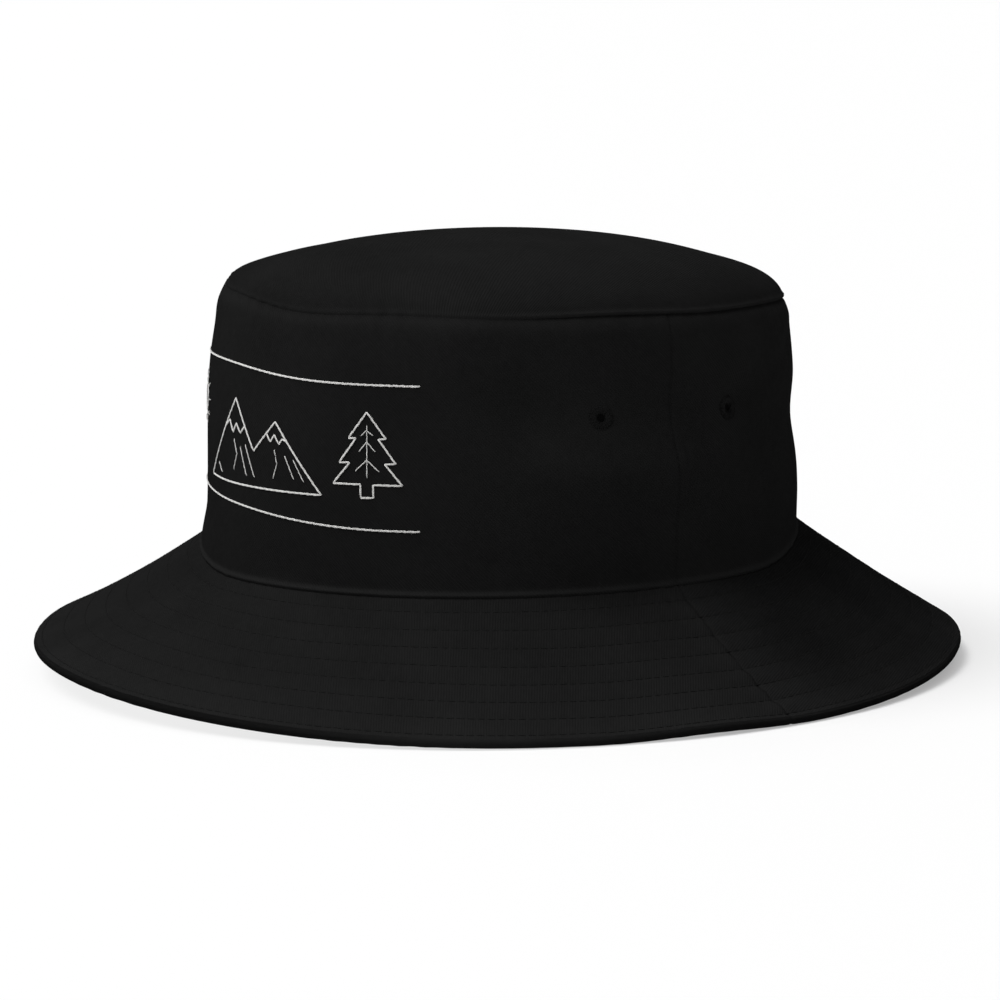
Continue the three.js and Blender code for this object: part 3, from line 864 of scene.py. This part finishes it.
def brim_half(name, face, node, half, material, wear_and_painted_light):
    start, end = half
    angles = stations(start, end, TURN_STEP, (start, end), SIDE_SEAM_STEPS)
    begin = [k * 0.3 * MM / face.metres for k in range(8)]
    slope = stations(BRIM_START, 1, 1.7 * MM / face.metres, ROW_RUNS, ROW_STEPS)
    slope = np.union1d(slope[slope > begin[-1]], [BRIM_START, *begin])
    edge = 2 - (1 - np.linspace(0, 1, 12)[1:]) ** 1.3
    runs = np.concatenate([slope, edge])
    piece = cloth(name, face, grid(angles, runs), thickness=BRIM_CLOTH, wear_and_painted_light=wear_and_painted_light)
    dressed(piece, "black_twill", node, material=material)


# The back half takes painted shade: a darker twill, and a mark that darkens it away from the seams.
HALVES = (("front", FRONT_HALF, None, brim_wear_and_painted_light), ("back", BACK_HALF, back_twill_painted_shade, back_wear_and_painted_shade))
for side, face in (("top", brim_top), ("under", brim_under)):
    for half, span, material, wear_and_painted_light in HALVES:
        brim_half(f"brim_{side}_{half}_cloth", face, f"brim_{side}_{half}", span, material, wear_and_painted_light)

stiffener = Face(brim_top.place, wall_cut, brim_top.metres, -1)
stiffener_points = grid(np.linspace(-math.pi, math.pi, 361), np.linspace(0.03, 0.97, 40))
stiffener_depth = EDGE_RADIUS - INTERLINING / 2
piece = cloth("brim_stiffener", stiffener, stiffener_points, INTERLINING, stiffener_depth)
dressed(piece, "white_nonwoven", "brim_interlining")

ALL_ROUND = np.linspace(-math.pi, math.pi, 1441)
for row, path in enumerate(level_rows(ALL_ROUND, ROW_RUNS)):
    rows = [sewn(face, path, 3.0 * MM, 2.5 * MM, lift=-0.03 * MM) for face in (brim_top, brim_under)]
    piece = threads(f"brim_thread_row_{row + 1}", *gathered(rows), 0.2 * MM, arch=0.07 * MM)
    dressed(piece, "black_thread", f"brim_stitch_row_{row + 1}")

# ---------- eyelets


def frame_at(angle, height):
    """A point on the crown wall's middle layer, and the directions across, up and out there."""
    point = wall.place(np.array(angle), np.array(height), CLOTH / 2)
    out = wall.normal(np.array(angle), np.array(height))
    across = unit(np.cross([0, 0, 1], out))
    return point, across, np.cross(out, across), out


def wound_ring(name, angle, height, seed):
    """A sewn eyelet: thread wound round and round the edge of a hole."""
    draw = random.Random(seed)
    point, across, up, out = frame_at(angle, height)
    turns, steps, sides = 46, 18, 6
    middle, half_width, half_height, radius = 2.8 * MM, 1.25 * MM, 0.78 * MM, 0.26 * MM
    loop = np.arange(steps) * FULL / steps
    side = np.arange(sides) * FULL / sides
    vertices, cut, faces = [], [], []
    for k in range(turns):
        bearing = (k + draw.uniform(-0.2, 0.2)) * FULL / turns
        size = 1 + draw.uniform(-0.07, 0.07)
        spin = bearing + 0.07 * np.sin(loop)
        radial = spokes(across[None], up[None], spin)[0]
        ring_in = np.cos(loop)[:, None] * size * half_width
        ring_out = np.sin(loop)[:, None] * half_height
        centres = point + radial * (middle + ring_in) + out * ring_out
        ahead = unit(np.roll(centres, -1, axis=0) - np.roll(centres, 1, axis=0))
        beside = unit(np.cross(ahead, np.cross(radial, out)))
        around = spokes(beside, np.cross(ahead, beside), side)
        vertices.append((centres[:, None] + around * radius).reshape(-1, 3))
        u = np.repeat(loop * MM, sides)
        cut.append(np.stack([u, np.tile(side * radius, steps)], axis=-1))
        here = k * steps * sides + np.arange(steps * sides).reshape(steps, sides)
        there = np.roll(here, -1, axis=0)
        quads = here, np.roll(here, -1, axis=1), np.roll(there, -1, axis=1), there
        faces.append(np.stack(quads, axis=-1).reshape(-1, 4))
    return new_object(name, np.concatenate(vertices), np.concatenate(faces).tolist(), np.concatenate(cut))


for seed, (place, angle) in enumerate(EYELET_ANGLES.items()):
    piece = wound_ring(f"eyelet_thread_{place}", angle, EYELET_HEIGHT, 200 + seed)
    dressed(piece, "black_thread", f"eyelet_{place}")

# ---------- embroidery

FLOSS_RADIUS = 0.15 * MM
FLOSS_LIFT = 0.12 * MM  # height of a stitch's middle above the cloth at its ends


def along_line(corners, travelled, at):
    """The points at these distances along a line, or its end points beyond them."""
    at = np.clip(at, 0, travelled[-1])
    return np.stack([np.interp(at, travelled, corners[:, k]) for k in (0, 1)], axis=-1)


def strokes(lines, width, strands, stitch, pitch, seed):
    """Rope-like stem stitches along lines of (mm along the crown, mm above the base seam) points."""
    draw = np.random.RandomState(seed)
    starts, ends = [], []
    for line in lines:
        corners = np.array(line, dtype=float)
        travelled, middles = paced(corners, pitch)
        for strand in range(strands):
            shift = (strand - (strands - 1) / 2) / strands * width
            slips = draw.uniform(-0.12, 0.12, (2, len(middles))) * pitch
            for half, slip, points in zip((-0.5, 0.5), slips, (starts, ends)):
                at = np.clip(middles + half * stitch + slip, 0, travelled[-1])
                behind, ahead = (along_line(corners, travelled, at + step) for step in (-0.2, 0.2))
                run = unit(ahead - behind)
                beside = np.stack([-run[:, 1], run[:, 0]], axis=-1)
                slant = shift + half * 0.55 * width
                points.append(along_line(corners, travelled, at) + beside * slant)
    return np.concatenate(starts), np.concatenate(ends)


def on_crown(points, lift):
    angle, height = points[:, 0] * MM / EMBROIDERY_RADIUS, points[:, 1] * MM
    normal = wall.normal(angle, height)
    return wall.place(angle, height) + lift * normal, normal


def shifted(lines, x, y):
    return [[(x + px, y + py) for px, py in line] for line in lines]


def embroider(name, node, lines, details=(), middle=(0, 0), seed=0):
    """An embroidered figure: its heavy lines as three-stranded rope, its details as single threads."""
    lines, details = shifted(lines, *middle), shifted(details, *middle)
    parts = [strokes(lines, width=0.38, strands=3, stitch=3.4, pitch=2.4, seed=seed)]
    if details:
        parts.append(strokes(details, width=0.3, strands=1, stitch=2.4, pitch=1.9, seed=seed + 50))
    from_points, to_points = gathered(parts)
    starts, ups = on_crown(from_points, FLOSS_LIFT)
    ends, _ = on_crown(to_points, FLOSS_LIFT)
    piece = threads(name, starts, ends, ups, FLOSS_RADIUS, arch=0.16 * MM, sides=8)
    dressed(piece, "white_thread", node)


def legs_of(*outlines):
    """Each straight leg between neighbouring corners, so that the corners stay sharp."""
    return [list(pair) for corners in outlines for pair in zip(corners, corners[1:])]


def mirrored(corners):
    return [(-x, y) for x, y in corners]


turns = np.linspace(-LINE_SPREAD, LINE_SPREAD, 60)
for name, (height, rise) in LINES.items():
    bow = swelling(turns, ((*LINE_BOW, rise),))
    line = list(zip(turns * EMBROIDERY_RADIUS / MM, height + bow))
    embroider(f"{name}_thread", name, [line], seed=int(height))

# The figures' corners, in mm to the side of and above their middles.
RANGE = [(-29, -13), (-10, 13), (1, -2), (11, 8), (29, -13), (-29, -13)]
SNOW = [
    [(-16.6, 4), (-13.6, 6), (-11.4, 2.4), (-9.2, 5.4), (-6.8, 2.6), (-4.1, 5)],
    [(7.2, 4.2), (8.8, 1.6), (10.8, 4), (12.6, 1.2), (14.2, 3), (16, 2.2)],
]
RIDGES = [
    [(-10.5, 0.5), (-8.5, -4), (-10.5, -9)],
    [(-6.5, -1.5), (-2.6, -10)],
    [(-3.6, -0.5), (1.6, -10)],
    [(10.8, -0.5), (12, -5), (10.4, -9.5)],
    [(15.2, -2), (18.9, -9)],
    [(18.6, -3), (22.7, -9.5)],
    [(-22.3, -8), (-19.4, -11)],
]
PEAKS_MIDDLE = (6, MOTIF_MM)
peak_lines, peak_details = legs_of(RANGE, *SNOW), legs_of(*RIDGES)
embroider("peaks_thread", "embroidery_peaks", peak_lines, peak_details, PEAKS_MIDDLE, seed=3)

FIR_SIDE = [(0, 13), (6, 5), (3.5, 5), (9, -2.5), (5.5, -2.5), (11, -9), (2, -9), (2, -13)]
FIR_TWIGS = [[(0, 9), (0, -7)], [(0, 4), (2.6, 1)], [(0, -1.5), (3.8, -5)], [(0, 7.5), (2, 5.8)]]
FIR_BASE = [(-2, -13), (2, -13)]
FIR_MIDDLE = (50, MOTIF_MM)
fir_lines = legs_of(FIR_SIDE, mirrored(FIR_SIDE), FIR_BASE)
fir_details = FIR_TWIGS + [mirrored(twig) for twig in FIR_TWIGS[1:]]
embroider("pine_thread", "embroidery_pine", fir_lines, fir_details, FIR_MIDDLE, seed=5)

SUN_RADIUS = 4.5
SUN_RAYS = 10
RAY_ENDS = (6.4, 8.8)  # distances from the sun's middle
SUN_MIDDLE = (-38, MOTIF_MM + 9)


def sun_point(radius, angle):
    return radius * math.cos(angle), radius * math.sin(angle)


sun_disc = [sun_point(SUN_RADIUS, angle) for angle in np.linspace(0, FULL, 49)]
sun_rays = [[sun_point(end, k * FULL / SUN_RAYS) for end in RAY_ENDS] for k in range(SUN_RAYS)]
embroider("sun_thread", "embroidery_sun", [sun_disc], sun_rays, SUN_MIDDLE, seed=7)

# ---------- inside the crown

BAND_THICKNESS = 1.2 * MM
BAND_DEPTH = CLOTH + 1.7 * MM + BAND_THICKNESS  # of its inner face, behind the crown's outer face
BAND_BOTTOM, BAND_TOP = -3 * MM, 27 * MM
BAND_ROW = 3 * MM  # distance of its stitch rows from its edges
BAND_GAP = 1.2 * MM / MEAN_RADIUS  # angle of the slit at the back, where its ends meet
FOLD_STEPS = [k * 0.12 * MM for k in range(1, 6)]

band_waves = wave_field(71, (3, 14), 60)
band_puckers = wave_field(73, (50, 90), 200, 14)


def rounded(from_edge, thickness, depth):
    """Depth below a strip's plain face, where the edges of both its sides are rounded."""
    share = np.clip(1 - from_edge / (thickness / 2), 0, 1)
    fallen_back = thickness / 2 * 0.9 * (1 - np.sqrt(1 - share**2))
    return depth - fallen_back if depth else fallen_back


def stitched(name, face, paths):
    """Rows of black stitches along these paths on a face."""
    rows = [sewn(face, path, 3.0 * MM, 2.4 * MM, lift=0.05 * MM) for path in paths]
    dressed(threads(name, *gathered(rows), 0.18 * MM, arch=0.1 * MM), "black_thread")


def band_place(angle, height, depth=0):
    """The sweatband's face against the head, with a fold at its top and bottom."""
    below, above = height - BAND_BOTTOM, BAND_TOP - height
    back = rounded(np.minimum(below, above), BAND_THICKNESS, depth)
    waves = 0.35 * MM * band_waves(angle, height)
    if not depth:
        near_rows = bump(above - BAND_ROW, 0.5 * MM) + bump(below - BAND_ROW, 0.5 * MM)
        waves = waves - 0.15 * MM * near_rows + 0.07 * MM * band_puckers(angle, height)
    return behind_wall(angle, height, BAND_DEPTH - back + waves)


band = Face(band_place, wall_cut, 1, -1)
band_heights = stations(BAND_BOTTOM, BAND_TOP, 1.0 * MM, (BAND_BOTTOM, BAND_TOP), FOLD_STEPS)
band_angles = np.linspace(-math.pi + BAND_GAP / 2, math.pi - BAND_GAP / 2, 541)
band_piece = cloth("sweatband_cloth", band, grid(band_angles, band_heights), thickness=BAND_THICKNESS)
dressed(band_piece, "black_tape", "sweatband")
stitched("sweatband_stitches", band, level_rows(band_angles, (BAND_BOTTOM + BAND_ROW, BAND_TOP - BAND_ROW)))


def lining(name, points, clearance, thickness, slot, node):
    """A strip of tape or felt against the crown's inner face. points are its angles and heights."""
    angles, heights = points
    low, high = heights[0], heights[-1]

    def place(angle, height, depth=0):
        back = rounded(np.minimum(height - low, high - height), thickness, depth)
        return behind_wall(angle, height, CLOTH + clearance + thickness - back)

    strip = Face(place, wall_cut, 1, -1)
    dressed(cloth(name, strip, grid(angles, heights), thickness), slot, node)
    return strip


TIP_TAPE = (76.4 * MM, 84.4 * MM)
TIP_TAPE_ROW = 1.5 * MM
tip_points = np.linspace(-math.pi, math.pi, 481), stations(*TIP_TAPE, 0.8 * MM, TIP_TAPE, FOLD_STEPS)
tip_tape = lining("tip_tape_cloth", tip_points, 0.4 * MM, 1.2 * MM, "black_tape", "tip_seam_tape")
tip_rows = level_rows(ALL_ROUND, (TIP_TAPE[0] + TIP_TAPE_ROW, TIP_TAPE[1] - TIP_TAPE_ROW))
stitched("tip_tape_stitches", tip_tape, tip_rows)

SIDE_TAPE = (29 * MM, 75.4 * MM)
SIDE_TAPE_HALF = math.radians(3.6)
side_heights = np.linspace(*SIDE_TAPE, 60)
upward = np.linspace(SIDE_TAPE[0] + 1 * MM, SIDE_TAPE[1] - 1 * MM, 60)
for side, middle in (("left", QUARTER), ("right", -QUARTER)):
    points = np.linspace(middle - SIDE_TAPE_HALF, middle + SIDE_TAPE_HALF, 25), side_heights
    name, node = f"side_tape_cloth_{side}", f"side_seam_tape_{side}"
    strip = lining(name, points, 0.25 * MM, 0.6 * MM, "black_tape", node)
    columns = [(np.full(60, middle + share * SIDE_TAPE_HALF), upward) for share in (-0.72, 0.72)]
    stitched(f"side_tape_stitches_{side}", strip, columns)

BACKING_SPREAD = math.radians(42)
points = np.linspace(-BACKING_SPREAD, BACKING_SPREAD, 121), np.linspace(29 * MM, 70 * MM, 50)
lining("backing_felt", points, 0.3 * MM, 0.4 * MM, "black_nonwoven", "embroidery_backing")

LABEL = 0.5 * MM
LABEL_LOW, LABEL_HIGH = 1 * MM, 25 * MM
LABEL_MIDDLE, LABEL_HALF = math.pi + 0.14, 0.08


def label_place(angle, height, depth=0):
    """A blank ribbon hanging from the sweatband, curling a little at its loose end."""
    loose = eased((LABEL_HIGH - height) / (LABEL_HIGH - LABEL_LOW))
    twist = np.sin((angle - LABEL_MIDDLE) / LABEL_HALF * 2.2)
    curl = 1.6 * MM * loose**2 + 0.4 * MM * loose * twist
    return behind_wall(angle, height, BAND_DEPTH + 0.6 * MM + LABEL - depth + curl)


label_angles = np.linspace(LABEL_MIDDLE - LABEL_HALF, LABEL_MIDDLE + LABEL_HALF, 25)
label_points = grid(label_angles, np.linspace(LABEL_LOW, LABEL_HIGH, 30))
label = cloth("blank_label", Face(label_place, wall_cut, 1, -1), label_points, LABEL)
dressed(label, "white_satin", "care_label")

# ---------- floor, light and camera

# The table glows of itself, painted light standing for a lamp below it: strongly towards the hat's right
# front, where it washes out the hat's shadow, and weakly towards its left rear. Each pair of values is for
# those two ends.
TABLE_GLOW = (0.84, 0.35)
TABLE_REFLECTANCE = (0.13, 0.52)
TABLE_REARWARD = (0.6, 0.8)  # the direction from the first end to the second
TABLE_CHANGE = 0.12  # how far on each side of the origin the change reaches, in metres
TABLE_HALF = 120.0
TABLE_LEVEL = -0.2 * MM

SEEN_WORLD, AMBIENT_WORLD = 1.0, 0.12

CAMERA_AZIMUTH = math.radians(53)
CAMERA_DISTANCE = 1.135
CAMERA_HEIGHT = 0.220
CAMERA_AIM = 50.9 * MM
CAMERA_SIDESTEP = -0.6 * MM
CAMERA_LENS, CAMERA_SENSOR = 125.46, 36


def heading(azimuth):
    """The level direction of an azimuth: 0 is in front of the hat, 90 degrees at its wearer's left."""
    return Vector((math.sin(azimuth), -math.cos(azimuth), 0))


def lit_table(name):
    """Pale acrylic with an uneven glow of its own, painted light that lightens its shadows, so it looks
    equally bright all over.
    """
    nodes = Nodes(name)
    split = nodes.node("SeparateXYZ", Vector=nodes.place())
    rearward = nodes.total(*zip(split.outputs, TABLE_REARWARD))
    limits = {"From Min": -TABLE_CHANGE, "From Max": TABLE_CHANGE}
    share = nodes.node("MapRange", Value=rearward, **limits)
    share.interpolation_type = "SMOOTHSTEP"
    nodes.shade(*map(grey, TABLE_REFLECTANCE), share.outputs[0])
    strong, weak = TABLE_GLOW
    # painted light: the floor's own glow, strongest where it washes out the hat's shadow
    glow = nodes.maths("MULTIPLY_ADD", share.outputs[0], weak - strong, strong)
    nodes.fill(nodes.shader.inputs["Emission Color"], (1, 1, 1, 1))
    nodes.fill(nodes.shader.inputs["Emission Strength"], glow)
    return nodes.surface(roughness=0.9, specular=0.0)


def make_floor():
    signs = ((-1, -1), (1, -1), (1, 1), (-1, 1))
    corners = np.array([(x * TABLE_HALF, y * TABLE_HALF, TABLE_LEVEL) for x, y in signs])
    floor = new_object("floor", corners, [[0, 1, 2, 3]], corners[:, :2])
    floor.data.materials.append(lit_table("lit_table"))


def sky_light(name, azimuth, elevation, softness, strength):
    """A far, large soft light."""
    data = bpy.data.lights.new(name, "SUN")
    data.angle = math.radians(softness)
    data.energy = strength
    light = bpy.data.objects.new(name, data)
    height = math.radians(elevation)
    towards = heading(math.radians(azimuth)) * math.cos(height) + Vector((0, 0, math.sin(height)))
    light.rotation_euler = towards.to_track_quat("Z", "Y").to_euler()
    bpy.context.collection.objects.link(light)


def make_world():
    """A white studio, whose light on the hat is weaker than what the camera sees of it."""
    world = bpy.data.worlds.new("studio")
    world.use_nodes = True
    tree = world.node_tree
    tree.nodes.clear()
    path = tree.nodes.new("ShaderNodeLightPath")
    mix = tree.nodes.new("ShaderNodeMixShader")
    output = tree.nodes.new("ShaderNodeOutputWorld")
    tree.links.new(path.outputs["Is Camera Ray"], mix.inputs[0])
    for socket, strength in ((1, AMBIENT_WORLD), (2, SEEN_WORLD)):
        background = tree.nodes.new("ShaderNodeBackground")
        background.inputs["Color"].default_value = (1, 1, 1, 1)
        background.inputs["Strength"].default_value = strength
        tree.links.new(background.outputs[0], mix.inputs[socket])
    tree.links.new(mix.outputs[0], output.inputs[0])
    bpy.context.scene.world = world


def make_camera():
    data = bpy.data.cameras.new("camera")
    data.sensor_width = CAMERA_SENSOR
    data.lens = CAMERA_LENS
    camera = bpy.data.objects.new("camera", data)
    place = heading(CAMERA_AZIMUTH) * CAMERA_DISTANCE + Vector((0, 0, CAMERA_HEIGHT))
    rightward = heading(CAMERA_AZIMUTH + QUARTER)
    camera.location = place + CAMERA_SIDESTEP * rightward
    camera.rotation_euler = (Vector((0, 0, CAMERA_AIM)) - place).to_track_quat("-Z", "Y").to_euler()
    bpy.context.collection.objects.link(camera)
    bpy.context.scene.camera = camera


make_floor()
make_world()
sky_light("key", azimuth=-22, elevation=60, softness=45, strength=2.7)
sky_light("top", azimuth=-30, elevation=84, softness=80, strength=1.2)
make_camera()
bpy.context.scene.view_settings.view_transform = "Standard"
